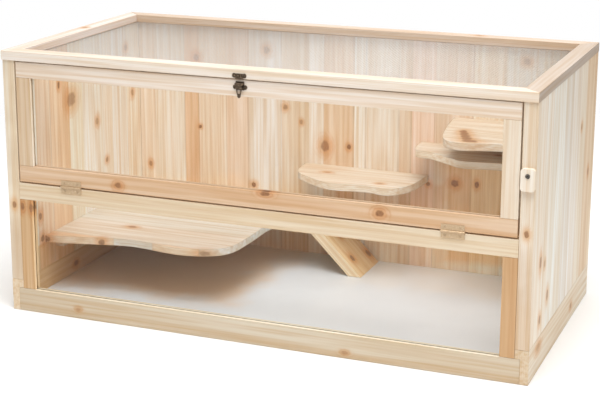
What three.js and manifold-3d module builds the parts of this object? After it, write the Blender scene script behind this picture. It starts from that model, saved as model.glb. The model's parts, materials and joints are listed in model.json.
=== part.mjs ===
// A wooden hamster cage as an assembly of separate pieces: a carcass of glued pine boards with
// a fixed lower window, a drop-down upper window door, a hinged wire-mesh lid, and a furnished
// inside with a platform, a ramp and three step shelves.
//
// Millimetres, +Z up, +X along the cage's length, front face towards -Y. The origin is under the
// middle of the bounding box, on the surface that the cage stands on.
import * as THREE from 'three';
import { mergeVertices } from 'three/addons/utils/BufferGeometryUtils.js';
import Module from 'manifold-3d';

// ---- Driving dimensions -------------------------------------------------------------------

const fitGap = 0.3; // glue line or face-to-face gap between two touching pieces

// Carcass
const cageLength = 1150;
const cageDepth = 578;
const carcassTop = 556.7;
const sideThickness = 28;
const boardThickness = 18; // back panel, door and front frame
const shelfThickness = 16; // platform and step shelves
const baseRailHeight = 70;
const floorTop = 20;
const floorBottom = 2;

// Front frame, from the bottom upwards
const bottomRailHeight = 51;
const bottomRailLap = 11; // how far the bottom rail's ends are let into the sides' base rails
const lowerStileWidth = 30;
const middleRailBottom = 254;
const middleRailTop = 290.5;

// Door
const doorSideGap = 3.5;
const doorBottom = 294;
const doorTop = 554.5;
const doorBottomRailHeight = 35;
const doorTopRailHeight = 33.5;
const doorStileWidth = 34;

// Window panes
const paneThickness = 4;
const paneInsertion = 6; // how far a pane reaches into its grooves

// Lid
const lidBottom = 557;
const lidThickness = 20;
const lidRailWidth = 35;
const lidSideOverhang = 1;
const lidFrontOverhang = 4;
const meshThickness = 0.5;
const meshRebateDepth = 2.8;
const meshRebateWidth = 9;

// Platform, ramp and step shelves
const platformTop = 144;
const platformRightEnd = -40;
const battenSize = 20;
const rampAngle = THREE.MathUtils.degToRad(45);
const rampThickness = 22;
const rampFront = 137;
const rampBack = 265;
const lowerShelfTop = 244;
const middleShelfTop = 322;
const upperShelfTop = 386;

// Butt hinges of the door and of the lid
const hingeLength = 47;
const hingeLeafHeight = 14;
const hingeLeafThickness = 1.2;
const knuckleRadius = 2.2;
const hingePinRadius = 1;
const doorHingeX = 418;
const lidHingeX = 400;

// Hasp: a keeper on the lid, and a strap that swings on a plate on the door
const haspX = -25;
const haspPlateThickness = 1.1;
const strapPivotZ = 547;
const strapPivotStandoff = 7; // from the door's front face to the strap's axis
const strapLength = 28;
const strapSlotDistance = 15; // from the axis to the middle of the slot

// Turn-button on the front edge of the right side
const buttonPivotZ = 418;
const buttonWidth = 28;
const buttonLongArm = 30;
const buttonShortArm = 14;
const buttonThickness = 9;

// Screws
const hingeScrew = { headRadius: 2.4, shankRadius: 1.1, headHeight: 1.3, length: 12 };
const haspScrew = { headRadius: 2, shankRadius: 0.9, headHeight: 1.1, length: 9 };

// ---- Planes worked out from them ------------------------------------------------------------

const halfLength = cageLength / 2;
const inner = halfLength - sideThickness; // inside face of each side, as a distance in X
const front = -cageDepth / 2;
const back = cageDepth / 2;
const frameBack = front + boardThickness; // back face of the front frame and of the door
const backInner = back - boardThickness; // inside face of the back panel
const paneY = [
  (front + frameBack - paneThickness) / 2,
  (front + frameBack + paneThickness) / 2,
];

// ---- Finishes -------------------------------------------------------------------------------

const finishes = {
  pinePale: { color: 0xe9c9a0, roughness: 0.6, metalness: 0 },
  pine: { color: 0xdcae7c, roughness: 0.6, metalness: 0 },
  pineWarm: { color: 0xc98d55, roughness: 0.6, metalness: 0 },
  whiteBoard: { color: 0xeeeae6, roughness: 0.45, metalness: 0 },
  acrylic: { color: 0xdfe8ea, roughness: 0.08, metalness: 0 },
  mesh: { color: 0xa8a8a0, roughness: 0.4, metalness: 0.9 },
  zinc: { color: 0xc9bd9d, roughness: 0.35, metalness: 0.9 },
  bronze: { color: 0x3a2416, roughness: 0.45, metalness: 0.8 },
  darkSteel: { color: 0x2b2420, roughness: 0.5, metalness: 0.8 },
};

const cage = new THREE.Group();

function add(name, geometry, finish) {
  const mesh = new THREE.Mesh(geometry, new THREE.MeshStandardMaterial(finishes[finish]));
  mesh.name = name;
  cage.add(mesh);
  return mesh;
}

// ---- Solids: joining and cutting --------------------------------------------------------------

const wasm = await Module();
wasm.setup();

function solidOf(geometry) {
  const bare = geometry.clone();
  bare.deleteAttribute('normal');
  bare.deleteAttribute('uv');
  const merged = mergeVertices(bare, 1e-4);
  const vertProperties = new Float32Array(merged.attributes.position.array);
  const triVerts = new Uint32Array(merged.index.array);
  return new wasm.Manifold(new wasm.Mesh({ numProp: 3, vertProperties, triVerts }));
}

function geometryOf(solid) {
  const { vertProperties, triVerts } = solid.getMesh();
  const geometry = new THREE.BufferGeometry();
  geometry.setAttribute('position', new THREE.BufferAttribute(vertProperties, 3));
  geometry.setIndex(new THREE.BufferAttribute(triVerts, 1));
  return geometry;
}

function join(first, ...others) {
  const whole = others.reduce((solid, other) => solid.add(solidOf(other)), solidOf(first));
  return geometryOf(whole);
}

function cut(body, ...tools) {
  const left = tools.reduce((solid, tool) => solid.subtract(solidOf(tool)), solidOf(body));
  return geometryOf(left);
}

// ---- Basic shapes -----------------------------------------------------------------------------

// A box between two limits on each axis.
function block([x0, x1], [y0, y1], [z0, z1]) {
  const geometry = new THREE.BoxGeometry(x1 - x0, y1 - y0, z1 - z0);
  geometry.translate((x0 + x1) / 2, (y0 + y1) / 2, (z0 + z1) / 2);
  return geometry;
}

// A flat board with an outline in plan, between two heights.
function boardFromPlan(outline, bottom, top) {
  const shape = new THREE.Shape(outline);
  const geometry = new THREE.ExtrudeGeometry(shape, { depth: top - bottom, bevelEnabled: false });
  geometry.translate(0, 0, bottom);
  return geometry;
}

// A piece with an outline seen from the front, where outline points are (x, z), between two depths.
function plateFromFront(shape, [y0, y1], curveSegments = 8) {
  const options = { depth: y1 - y0, bevelEnabled: false, curveSegments };
  const geometry = new THREE.ExtrudeGeometry(shape, options);
  geometry.rotateX(Math.PI / 2);
  geometry.translate(0, y1, 0);
  return geometry;
}

// A round bar along X.
function barAlongX(radius, [x0, x1], y, z, segments = 16) {
  const geometry = new THREE.CylinderGeometry(radius, radius, x1 - x0, segments);
  geometry.rotateZ(Math.PI / 2);
  geometry.translate((x0 + x1) / 2, y, z);
  return geometry;
}

// A countersunk screw on the Y axis line through (x, z). Its head is flush with headY, and
// inward is +1 when it goes in towards +Y. Clearance makes the hole that it needs.
function screwGeometry(size, x, headY, z, inward, clearance = 0) {
  const head = size.headRadius + clearance;
  const shank = size.shankRadius + clearance;
  const start = clearance > 0 ? -1 : 0;
  const rim = 0.25 + clearance;
  const end = size.length + clearance;
  const profile = [
    new THREE.Vector2(0, start),
    new THREE.Vector2(head, start),
    new THREE.Vector2(head, rim),
    new THREE.Vector2(shank, size.headHeight + clearance),
    new THREE.Vector2(shank, end - 1.5),
    new THREE.Vector2(0, end),
  ];
  const geometry = new THREE.LatheGeometry(profile, 12);
  if (inward < 0) {
    geometry.rotateX(Math.PI);
  }
  geometry.translate(x, headY, z);
  return geometry;
}

// ---- Carcass ----------------------------------------------------------------------------------

function addSide(name, sign, panelHoles) {
  const width = [inner, halfLength].map((x) => sign * x).sort((a, b) => a - b);
  const panel = block(width, [front, back], [baseRailHeight + fitGap, carcassTop]);
  add(`${name}_side_panel`, panelHoles.length > 0 ? cut(panel, ...panelHoles) : panel, 'pine');
  const lap = [inner - fitGap, inner + bottomRailLap].map((x) => sign * x).sort((a, b) => a - b);
  const housing = block(lap, [front - 1, frameBack + fitGap], [-1, bottomRailHeight + fitGap]);
  const rail = block(width, [front, back], [0, baseRailHeight]);
  add(`${name}_base_rail`, cut(rail, housing), 'pine');
}

const betweenSides = [-inner + fitGap, inner - fitGap];

function addBackAndFloor() {
  add('back_panel', block(betweenSides, [backInner, back], [0, carcassTop]), 'pine');
  const floorDepth = [frameBack + fitGap, backInner - fitGap];
  add('floor_panel', block(betweenSides, floorDepth, [floorBottom, floorTop]), 'whiteBoard');
}

// The fixed front frame, grooved all round for the lower window pane.
function addFrontFrame(middleRailHoles) {
  const opening = inner - lowerStileWidth;
  const paneX = [-opening - paneInsertion, opening + paneInsertion];
  const paneZ = [bottomRailHeight - paneInsertion, middleRailBottom + paneInsertion];
  add('lower_window_pane', block(paneX, paneY, paneZ), 'acrylic');

  const grow = ([low, high]) => [low - fitGap, high + fitGap];
  const groove = block(grow(paneX), grow(paneY), grow(paneZ));
  const depth = [front, frameBack];
  const bottomRailHalf = inner + bottomRailLap - fitGap;
  const bottomRail = block([-bottomRailHalf, bottomRailHalf], depth, [0, bottomRailHeight]);
  add('front_bottom_rail', cut(bottomRail, groove), 'pine');
  const middleRail = block(betweenSides, depth, [middleRailBottom, middleRailTop]);
  add('middle_rail', cut(middleRail, groove, ...middleRailHoles), 'pinePale');
  const stileZ = [bottomRailHeight + fitGap, middleRailBottom - fitGap];
  const leftStile = block([-inner + fitGap, -opening], depth, stileZ);
  add('lower_left_stile', cut(leftStile, groove), 'pineWarm');
  const rightStile = block([opening, inner - fitGap], depth, stileZ);
  add('lower_right_stile', cut(rightStile, groove), 'pineWarm');
}

// ---- Door -------------------------------------------------------------------------------------

const doorHalfLength = inner - doorSideGap;

function addDoor(topRailHoles, bottomRailHoles) {
  const openingX = doorHalfLength - doorStileWidth;
  const openingZ = [doorBottom + doorBottomRailHeight, doorTop - doorTopRailHeight];
  const paneX = [-openingX - paneInsertion, openingX + paneInsertion];
  const paneZ = [openingZ[0] - paneInsertion, openingZ[1] + paneInsertion];
  add('door_window_pane', block(paneX, paneY, paneZ), 'acrylic');

  const grow = ([low, high]) => [low - fitGap, high + fitGap];
  const groove = block(grow(paneX), grow(paneY), grow(paneZ));
  const depth = [front, frameBack];
  const width = [-doorHalfLength, doorHalfLength];
  const topRail = block(width, depth, [openingZ[1], doorTop]);
  add('door_top_rail', cut(topRail, groove, ...topRailHoles), 'pine');
  const bottomRail = block(width, depth, [doorBottom, openingZ[0]]);
  add('door_bottom_rail', cut(bottomRail, groove, ...bottomRailHoles), 'pineWarm');
  const stileZ = [openingZ[0] + fitGap, openingZ[1] - fitGap];
  const leftStile = block([-doorHalfLength, -openingX], depth, stileZ);
  add('door_left_stile', cut(leftStile, groove), 'pine');
  const rightStile = block([openingX, doorHalfLength], depth, stileZ);
  add('door_right_stile', cut(rightStile, groove), 'pine');
}

// ---- Lid --------------------------------------------------------------------------------------

const lidX = halfLength + lidSideOverhang;
const lidFront = front - lidFrontOverhang;
const lidTop = lidBottom + lidThickness;

// Four rails with mitred corners, rebated underneath for the sheet of wire mesh.
function addLid(frontRailHoles) {
  const openX = lidX - lidRailWidth;
  const openFront = lidFront + lidRailWidth;
  const openBack = back - lidRailWidth;
  const rebateX = openX + meshRebateWidth;
  const rebateY = [openFront - meshRebateWidth, openBack + meshRebateWidth];
  const rebateZ = [lidBottom - 1, lidBottom + meshRebateDepth];
  const rebate = block([-rebateX, rebateX], rebateY, rebateZ);

  const half = fitGap / 2;
  const point = (x, y) => new THREE.Vector2(x, y);
  const acrossRail = (outer, openEdge) => [
    point(-lidX + half, outer),
    point(lidX - half, outer),
    point(openX - half, openEdge),
    point(-openX + half, openEdge),
  ];
  const alongRail = (sign) => [
    point(sign * lidX, lidFront + half),
    point(sign * lidX, back - half),
    point(sign * openX, openBack - half),
    point(sign * openX, openFront + half),
  ];
  const rail = (outline) => boardFromPlan(outline, lidBottom, lidTop);
  const frontRail = rail(acrossRail(lidFront, openFront));
  add('lid_front_rail', cut(frontRail, rebate, ...frontRailHoles), 'pinePale');
  add('lid_back_rail', cut(rail(acrossRail(back, openBack).reverse()), rebate), 'pine');
  add('lid_left_rail', cut(rail(alongRail(-1).reverse()), rebate), 'pine');
  add('lid_right_rail', cut(rail(alongRail(1)), rebate), 'pine');

  const sheetX = rebateX - fitGap;
  const sheetY = [rebateY[0] + fitGap, rebateY[1] - fitGap];
  const sheetTop = rebateZ[1] - fitGap;
  const sheet = block([-sheetX, sheetX], sheetY, [sheetTop - meshThickness, sheetTop]);
  add('lid_mesh', sheet, 'mesh');
}

// ---- Inside: platform, ramp and step shelves ----------------------------------------------------

// Points (x, y) joined by one smooth curve.
function smoothEdge(points, steps) {
  const curve = new THREE.SplineCurve(points.map(([x, y]) => new THREE.Vector2(x, y)));
  return curve.getPoints(steps);
}

function addPlatform() {
  const backEdge = backInner - fitGap;
  const leftEdge = -inner + fitGap;
  const wave = [
    [leftEdge, -193],
    [-440, -168],
    [-350, -150],
    [-235, -165],
    [-160, -146],
    [-128, -105],
    [-121, -20],
    [-117, 90],
    [-78, 129],
    [platformRightEnd, 136],
  ];
  const outline = [
    new THREE.Vector2(leftEdge, backEdge),
    ...smoothEdge(wave, 36),
    new THREE.Vector2(platformRightEnd, backEdge),
  ];
  const bottom = platformTop - shelfThickness;
  add('platform', boardFromPlan(outline, bottom, platformTop), 'pinePale');

  const battenTop = bottom - fitGap;
  const battenZ = [battenTop - battenSize, battenTop];
  const backBattenY = [backEdge - battenSize, backEdge];
  const backBatten = block([leftEdge + 10, platformRightEnd - 60], backBattenY, battenZ);
  add('platform_back_batten', backBatten, 'pine');
  const sideBattenY = [-150, backBattenY[0] - 10];
  const sideBatten = block([leftEdge, leftEdge + battenSize], sideBattenY, battenZ);
  add('platform_side_batten', sideBatten, 'pine');
}

// A board from the platform's right end down to the floor, cut plumb at the top and level at
// the foot.
function addRamp() {
  const topX = platformRightEnd + fitGap;
  const topZ = platformTop;
  const footZ = floorTop + fitGap;
  const slope = Math.tan(rampAngle);
  const plumbCut = rampThickness / Math.cos(rampAngle);
  const toeX = topX + (topZ - footZ) / slope;
  const heelX = toeX - rampThickness / Math.sin(rampAngle);
  const shape = new THREE.Shape([
    new THREE.Vector2(topX, topZ),
    new THREE.Vector2(topX, topZ - plumbCut),
    new THREE.Vector2(heelX, footZ),
    new THREE.Vector2(toeX, footZ),
  ]);
  add('ramp', plateFromFront(shape, [rampFront, rampBack]), 'pineWarm');
}

function addStepShelf(name, top, wave, steps) {
  const backEdge = backInner - fitGap;
  const first = new THREE.Vector2(wave[0][0], backEdge);
  const last = new THREE.Vector2(wave[wave.length - 1][0], backEdge);
  const outline = [first, ...smoothEdge(wave, steps), last];
  add(`${name}_step_shelf`, boardFromPlan(outline, top - shelfThickness, top), 'pinePale');
}

function addShelfBatten(name, shelfTop, frontY) {
  const top = shelfTop - shelfThickness - fitGap;
  const right = inner - fitGap;
  const depth = [frontY, backInner - fitGap - 8];
  const batten = block([right - battenSize, right], depth, [top - battenSize, top]);
  add(`${name}_shelf_batten`, batten, 'pine');
}

function addStepShelves() {
  const right = inner - fitGap;
  addStepShelf('lower', lowerShelfTop, [
    [-102, 262],
    [-93, 190],
    [-45, 147],
    [15, 117],
    [95, 127],
    [150, 119],
    [188, 165],
    [200, 262],
  ], 28);
  addStepShelf('middle', middleShelfTop, [
    [183, 262],
    [192, 192],
    [232, 180],
    [280, 150],
    [322, 128],
    [400, 140],
    [480, 126],
    [right, 138],
  ], 28);
  addStepShelf('upper', upperShelfTop, [
    [262, 262],
    [272, 160],
    [294, 62],
    [335, 34],
    [385, 46],
    [450, 60],
    [right, 48],
  ], 28);
  addShelfBatten('middle', middleShelfTop, 160);
  addShelfBatten('upper', upperShelfTop, 70);
}

// ---- Butt hinges --------------------------------------------------------------------------------

// A three-knuckle hinge laid flat on a vertical face. outward is -1 on the front, +1 on the back.
// The upper leaf has the two end knuckles and the lower leaf has the middle one.
function buttHinge(x, faceY, outward, axisZ) {
  const leafY = [faceY + outward * fitGap, faceY + outward * (fitGap + hingeLeafThickness)];
  leafY.sort((a, b) => a - b);
  const axisY = faceY + outward * (fitGap + knuckleRadius);
  const knuckle = hingeLength / 3;
  const ends = [x - hingeLength / 2, x + hingeLength / 2];
  const middle = [x - knuckle / 2, x + knuckle / 2];
  const clear = knuckleRadius + 0.4;
  const bore = barAlongX(hingePinRadius + fitGap, [ends[0] - 1, ends[1] + 1], axisY, axisZ);

  const leaf = (side, spans) => {
    const rise = (near, far) => [side * near, side * far].sort((a, b) => a - b);
    const heights = rise(clear, hingeLeafHeight).map((z) => z + axisZ);
    const webHeights = rise(0, clear + 0.1).map((z) => z + axisZ);
    const parts = spans.flatMap((span) => [
      block(span, leafY, webHeights),
      barAlongX(knuckleRadius, span, axisY, axisZ),
    ]);
    return cut(join(block(ends, leafY, heights), ...parts), bore);
  };
  const upper = leaf(1, [
    [ends[0], middle[0] - fitGap],
    [middle[1] + fitGap, ends[1]],
  ]);
  const lower = leaf(-1, [middle]);

  const pinBody = barAlongX(hingePinRadius, [ends[0] - 0.9, ends[1] + 0.9], axisY, axisZ);
  const pinHeads = [-1, 1].map((side) => {
    const inside = x + side * (hingeLength / 2 + fitGap);
    const span = [inside, inside + side * 0.8].sort((a, b) => a - b);
    return barAlongX(knuckleRadius - 0.5, span, axisY, axisZ, 12);
  });
  const pin = join(pinBody, ...pinHeads);
  const headY = faceY + outward * (fitGap + hingeLeafThickness);
  return { upper, lower, pin, headY };
}

// Screw centres on one leaf, as (x, z).
function leafScrewCentres(x, axisZ, side) {
  const z = axisZ + side * (hingeLeafHeight + knuckleRadius) / 2;
  return [-1, 1].map((end) => [x + end * hingeLength * 0.32, z]);
}

// ---- Door hinges with their screws ------------------------------------------------------------------

const doorAxisZ = (middleRailTop + doorBottom) / 2;
const doorHingeRailHoles = { door: [], carcass: [] };

function addDoorHinge(name, x) {
  const hinge = buttHinge(x, front, -1, doorAxisZ);
  const leaves = [
    { label: 'upper', side: 1, holes: doorHingeRailHoles.door },
    { label: 'lower', side: -1, holes: doorHingeRailHoles.carcass },
  ];
  for (const { label, side, holes } of leaves) {
    const centres = leafScrewCentres(x, doorAxisZ, side);
    const sockets = centres.map(([sx, sz]) => {
      return screwGeometry(hingeScrew, sx, hinge.headY, sz, 1, fitGap);
    });
    holes.push(...sockets);
    add(`${name}_${label}_leaf`, cut(hinge[label], ...sockets), 'zinc');
    centres.forEach(([sx, sz], index) => {
      const screw = screwGeometry(hingeScrew, sx, hinge.headY, sz, 1);
      add(`${name}_${label}_screw_${index + 1}`, screw, 'zinc');
    });
  }
  add(`${name}_pin`, hinge.pin, 'zinc');
}

// ---- Lid hinges ---------------------------------------------------------------------------------------

const lidAxisZ = (carcassTop + lidBottom) / 2;

function addLidHinge(name, x) {
  const hinge = buttHinge(x, back, 1, lidAxisZ);
  add(`${name}_upper_leaf`, hinge.upper, 'zinc');
  add(`${name}_lower_leaf`, hinge.lower, 'zinc');
  add(`${name}_pin`, hinge.pin, 'zinc');
}

// ---- Hasp -----------------------------------------------------------------------------------------------

const haspEarSpread = 11;
const haspEarRadius = 4.6;

// A plate with a middle block and a round screw ear on each side.
function earedPlate(y, [blockBottom, blockTop], blockWidth, earZ) {
  const middle = block([haspX - blockWidth / 2, haspX + blockWidth / 2], y, [blockBottom, blockTop]);
  const ears = [-1, 1].map((side) => {
    const shape = new THREE.Shape();
    shape.absarc(haspX + side * haspEarSpread, earZ, haspEarRadius, 0, Math.PI * 2);
    return plateFromFront(shape, y, 9);
  });
  return join(middle, ...ears);
}

const haspScrewHoles = { lid: [], door: [] };

function addHaspScrews(name, headY, z, plate, holes) {
  const centres = [-1, 1].map((side) => haspX + side * haspEarSpread);
  const sockets = centres.map((x) => screwGeometry(haspScrew, x, headY, z, 1, fitGap));
  holes.push(...sockets);
  centres.forEach((x, index) => {
    add(`${name}_screw_${index + 1}`, screwGeometry(haspScrew, x, headY, z, 1), 'bronze');
  });
  return cut(plate, ...sockets);
}

// The keeper: a plate on the lid's front face with a headed knob that the strap's slot drops over.
function addHaspKeeper() {
  const plateY = [lidFront - fitGap - haspPlateThickness, lidFront - fitGap];
  const knobZ = strapPivotZ + strapSlotDistance;
  const earZ = knobZ + 2;
  const knob = new THREE.CylinderGeometry(1.8, 1.8, 5, 12);
  knob.translate(haspX, plateY[0] - 2, knobZ);
  const plate = join(earedPlate(plateY, [knobZ - 4.4, knobZ + 6], 18, earZ), knob);
  const keeper = addHaspScrews('hasp_keeper', plateY[0], earZ, plate, haspScrewHoles.lid);
  add('hasp_keeper', keeper, 'bronze');
}

// The door plate carries the strap's pin in two lugs.
function addHaspDoorPlate() {
  const plateY = [front - fitGap - haspPlateThickness, front - fitGap];
  const axisY = front - strapPivotStandoff;
  const earZ = strapPivotZ - 7;
  const lugs = [-1, 1].flatMap((side) => {
    const span = [haspX + side * 5.8, haspX + side * 8.3].sort((a, b) => a - b);
    return [
      block(span, [axisY, plateY[1]], [strapPivotZ - 2.6, strapPivotZ + 2.6]),
      barAlongX(2.6, span, axisY, strapPivotZ),
    ];
  });
  const pinBore = barAlongX(1.5, [haspX - 12, haspX + 12], axisY, strapPivotZ, 12);
  const plate = cut(
    join(earedPlate(plateY, [strapPivotZ - 13, strapPivotZ + 4.5], 18, earZ), ...lugs),
    pinBore,
  );
  const screwed = addHaspScrews('hasp_plate', plateY[0], earZ, plate, haspScrewHoles.door);
  add('hasp_plate', screwed, 'bronze');
  add('hasp_pin', barAlongX(1.2, [haspX - 9, haspX + 9], axisY, strapPivotZ, 12), 'bronze');
}

// The strap hangs from its pin and tapers to a rounded tip. Its slot takes the keeper's knob.
function addHaspStrap() {
  const axisY = front - strapPivotStandoff;
  const plateY = [axisY - 0.6, axisY + 0.6];
  const shoulder = strapPivotZ - 2;
  const tip = strapPivotZ - strapLength;
  const tipRadius = 3.5;
  const outline = new THREE.Shape();
  outline.moveTo(haspX - 5.5, shoulder);
  outline.lineTo(haspX - 7, shoulder - 4);
  outline.lineTo(haspX - tipRadius, tip + tipRadius);
  outline.absarc(haspX, tip + tipRadius, tipRadius, Math.PI, Math.PI * 2);
  outline.lineTo(haspX + 7, shoulder - 4);
  outline.lineTo(haspX + 5.5, shoulder);
  const blade = plateFromFront(outline, plateY);
  const knuckle = barAlongX(2.4, [haspX - 5.5, haspX + 5.5], axisY, strapPivotZ);
  const bore = barAlongX(1.5, [haspX - 7, haspX + 7], axisY, strapPivotZ, 12);
  const slotZ = strapPivotZ - strapSlotDistance;
  const slot = block([haspX - 3, haspX + 3], [axisY - 2, axisY + 2], [slotZ - 4, slotZ + 4]);
  add('hasp_strap', cut(join(blade, knuckle), bore, slot), 'bronze');
}

// ---- Turn-button ------------------------------------------------------------------------------------------

const buttonX = halfLength - sideThickness / 2;

// A wooden button that turns on one screw. Stored clear of the door, its long arm hangs down.
function addTurnButton() {
  const low = buttonPivotZ - buttonLongArm;
  const high = buttonPivotZ + buttonShortArm;
  const left = buttonX - buttonWidth / 2;
  const right = buttonX + buttonWidth / 2;
  const corner = 6;
  const outline = new THREE.Shape();
  outline.moveTo(left + corner, low);
  outline.lineTo(right - corner, low);
  outline.absarc(right - corner, low + corner, corner, -Math.PI / 2, 0);
  outline.lineTo(right, high - corner);
  outline.absarc(right - corner, high - corner, corner, 0, Math.PI / 2);
  outline.lineTo(left + corner, high);
  outline.absarc(left + corner, high - corner, corner, Math.PI / 2, Math.PI);
  outline.lineTo(left, low + corner);
  outline.absarc(left + corner, low + corner, corner, Math.PI, Math.PI * 1.5);
  const buttonY = [front - fitGap - buttonThickness, front - fitGap];
  const hole = new THREE.CylinderGeometry(2.6, 2.6, buttonThickness + 4, 16);
  hole.translate(buttonX, front - buttonThickness / 2, buttonPivotZ);
  add('turn_button', cut(plateFromFront(outline, buttonY, 4), hole), 'pinePale');

  const headBack = buttonY[0] - fitGap;
  const headFront = headBack - 2.1;
  const profile = [
    new THREE.Vector2(0, headFront),
    new THREE.Vector2(2.6, headFront),
    new THREE.Vector2(4.2, headFront + 0.8),
    new THREE.Vector2(4.6, headBack),
    new THREE.Vector2(2.2, headBack),
    new THREE.Vector2(2.2, front + 28),
    new THREE.Vector2(0, front + 31),
  ];
  const screw = new THREE.LatheGeometry(profile, 16);
  screw.translate(buttonX, 0, buttonPivotZ);
  add('turn_button_screw', screw, 'darkSteel');
}

// The hole for the turn-button's screw in the right side's front edge.
function buttonScrewHole() {
  const hole = new THREE.CylinderGeometry(2.5, 2.5, 40, 16);
  hole.translate(buttonX, front + 12, buttonPivotZ);
  return hole;
}

// ---- Assembly -----------------------------------------------------------------------------------------------

addDoorHinge('door_hinge_left', -doorHingeX);
addDoorHinge('door_hinge_right', doorHingeX);
addLidHinge('lid_hinge_left', -lidHingeX);
addLidHinge('lid_hinge_right', lidHingeX);
addHaspKeeper();
addHaspDoorPlate();
addHaspStrap();
addTurnButton();

addSide('left', -1, []);
addSide('right', 1, [buttonScrewHole()]);
addBackAndFloor();
addFrontFrame(doorHingeRailHoles.carcass);
addDoor(haspScrewHoles.door, doorHingeRailHoles.door);
addLid(haspScrewHoles.lid);
addPlatform();
addRamp();
addStepShelves();

// Centre the bounding box on the Y axis.
const bounds = new THREE.Box3().setFromObject(cage);
cage.position.y = -(bounds.min.y + bounds.max.y) / 2;

export default cage;
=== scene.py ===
"""The looks of a wooden hamster cage: pine boards, clear panes, a wire-mesh lid and its hardware."""

import json
import math
import random

import bmesh
import bpy
from mathutils import Matrix, Vector

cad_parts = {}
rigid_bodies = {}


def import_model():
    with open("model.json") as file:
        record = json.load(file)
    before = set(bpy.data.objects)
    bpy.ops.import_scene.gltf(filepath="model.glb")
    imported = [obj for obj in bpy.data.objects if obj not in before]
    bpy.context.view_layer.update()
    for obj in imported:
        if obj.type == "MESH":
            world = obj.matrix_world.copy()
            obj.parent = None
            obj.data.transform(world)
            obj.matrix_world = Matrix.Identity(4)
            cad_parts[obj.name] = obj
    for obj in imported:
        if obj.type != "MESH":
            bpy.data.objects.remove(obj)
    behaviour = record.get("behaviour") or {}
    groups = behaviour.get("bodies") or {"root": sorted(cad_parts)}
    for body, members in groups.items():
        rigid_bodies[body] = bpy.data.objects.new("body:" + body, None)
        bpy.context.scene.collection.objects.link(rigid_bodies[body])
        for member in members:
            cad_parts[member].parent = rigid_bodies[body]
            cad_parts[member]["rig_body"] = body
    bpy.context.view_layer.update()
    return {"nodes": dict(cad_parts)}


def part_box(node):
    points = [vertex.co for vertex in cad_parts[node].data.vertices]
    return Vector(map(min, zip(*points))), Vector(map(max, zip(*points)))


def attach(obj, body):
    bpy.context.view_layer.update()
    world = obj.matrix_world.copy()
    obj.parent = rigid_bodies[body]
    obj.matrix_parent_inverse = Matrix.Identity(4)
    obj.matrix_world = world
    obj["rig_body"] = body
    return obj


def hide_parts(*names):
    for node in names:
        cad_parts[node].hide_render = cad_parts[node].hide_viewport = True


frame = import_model()
NODES = frame["nodes"]
MM = 0.001

# ---- Camera and light --------------------------------------------------------------------------

CAMERA_TARGET = (-0.0123, 0.0035, 0.3505)
CAMERA_AZIMUTH = 21.70
CAMERA_ELEVATION = 13.91
CAMERA_ROLL = 0.11
CAMERA_DISTANCE = 3.2319
CAMERA_LENS = 88.70
CAMERA_SHIFT_Y = -0.100

WORLD_LIGHT = 0.42
LIGHTS = (  # name, place, size, watts, colour
    ("front_top", (0.4, -1.1, 3.3), 2.4, 105, (1.0, 0.995, 0.985)),
    ("key", (2.4, -2.4, 2.9), 2.0, 16, (1.0, 0.985, 0.96)),
    ("side", (3.4, -0.5, 1.9), 2.0, 14, (1.0, 0.99, 0.98)),
    ("top", (0.0, 0.3, 3.3), 2.4, 21, (1.0, 0.995, 0.985)),
    ("back", (-0.8, 3.0, 2.2), 2.6, 26, (1.0, 0.99, 0.98)),
)
LIGHT_AIM = Vector((0, 0, 0.3))


def make_camera():
    azimuth, elevation = math.radians(CAMERA_AZIMUTH), math.radians(CAMERA_ELEVATION)
    back = Vector((
        math.sin(azimuth) * math.cos(elevation),
        -math.cos(azimuth) * math.cos(elevation),
        math.sin(elevation),
    ))
    data = bpy.data.cameras.new("camera")
    data.lens = CAMERA_LENS
    data.sensor_width = 36
    data.shift_y = CAMERA_SHIFT_Y
    data.clip_end = 100
    camera = bpy.data.objects.new("camera", data)
    bpy.context.scene.collection.objects.link(camera)
    roll = Matrix.Rotation(math.radians(CAMERA_ROLL), 3, "Z").to_quaternion()
    camera.rotation_mode = "QUATERNION"
    camera.rotation_quaternion = (-back).to_track_quat("-Z", "Y") @ roll
    camera.location = Vector(CAMERA_TARGET) + back * CAMERA_DISTANCE
    bpy.context.scene.camera = camera


def make_lights():
    for name, place, size, watts, colour in LIGHTS:
        data = bpy.data.lights.new(name, "AREA")
        data.shape = "SQUARE"
        data.size = size
        data.energy = watts
        data.color = colour
        light = bpy.data.objects.new(name, data)
        bpy.context.scene.collection.objects.link(light)
        light.location = place
        light.rotation_euler = (LIGHT_AIM - Vector(place)).to_track_quat("-Z", "Y").to_euler()


def make_world():
    """A white studio all round, whose light on the object is softer than its backdrop."""
    world = bpy.data.worlds.new("studio")
    bpy.context.scene.world = world
    world.use_nodes = True
    tree = world.node_tree
    tree.nodes.clear()
    path = tree.nodes.new("ShaderNodeLightPath")
    lamp = tree.nodes.new("ShaderNodeBackground")
    lamp.inputs["Strength"].default_value = WORLD_LIGHT
    backdrop = tree.nodes.new("ShaderNodeBackground")
    backdrop.inputs["Color"].default_value = (1, 1, 1, 1)
    lamp.inputs["Color"].default_value = (1, 0.995, 0.985, 1)
    mix = tree.nodes.new("ShaderNodeMixShader")
    output = tree.nodes.new("ShaderNodeOutputWorld")
    tree.links.new(path.outputs["Is Camera Ray"], mix.inputs[0])
    tree.links.new(lamp.outputs[0], mix.inputs[1])
    tree.links.new(backdrop.outputs[0], mix.inputs[2])
    tree.links.new(mix.outputs[0], output.inputs["Surface"])


# ---- Node trees --------------------------------------------------------------------------------


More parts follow.
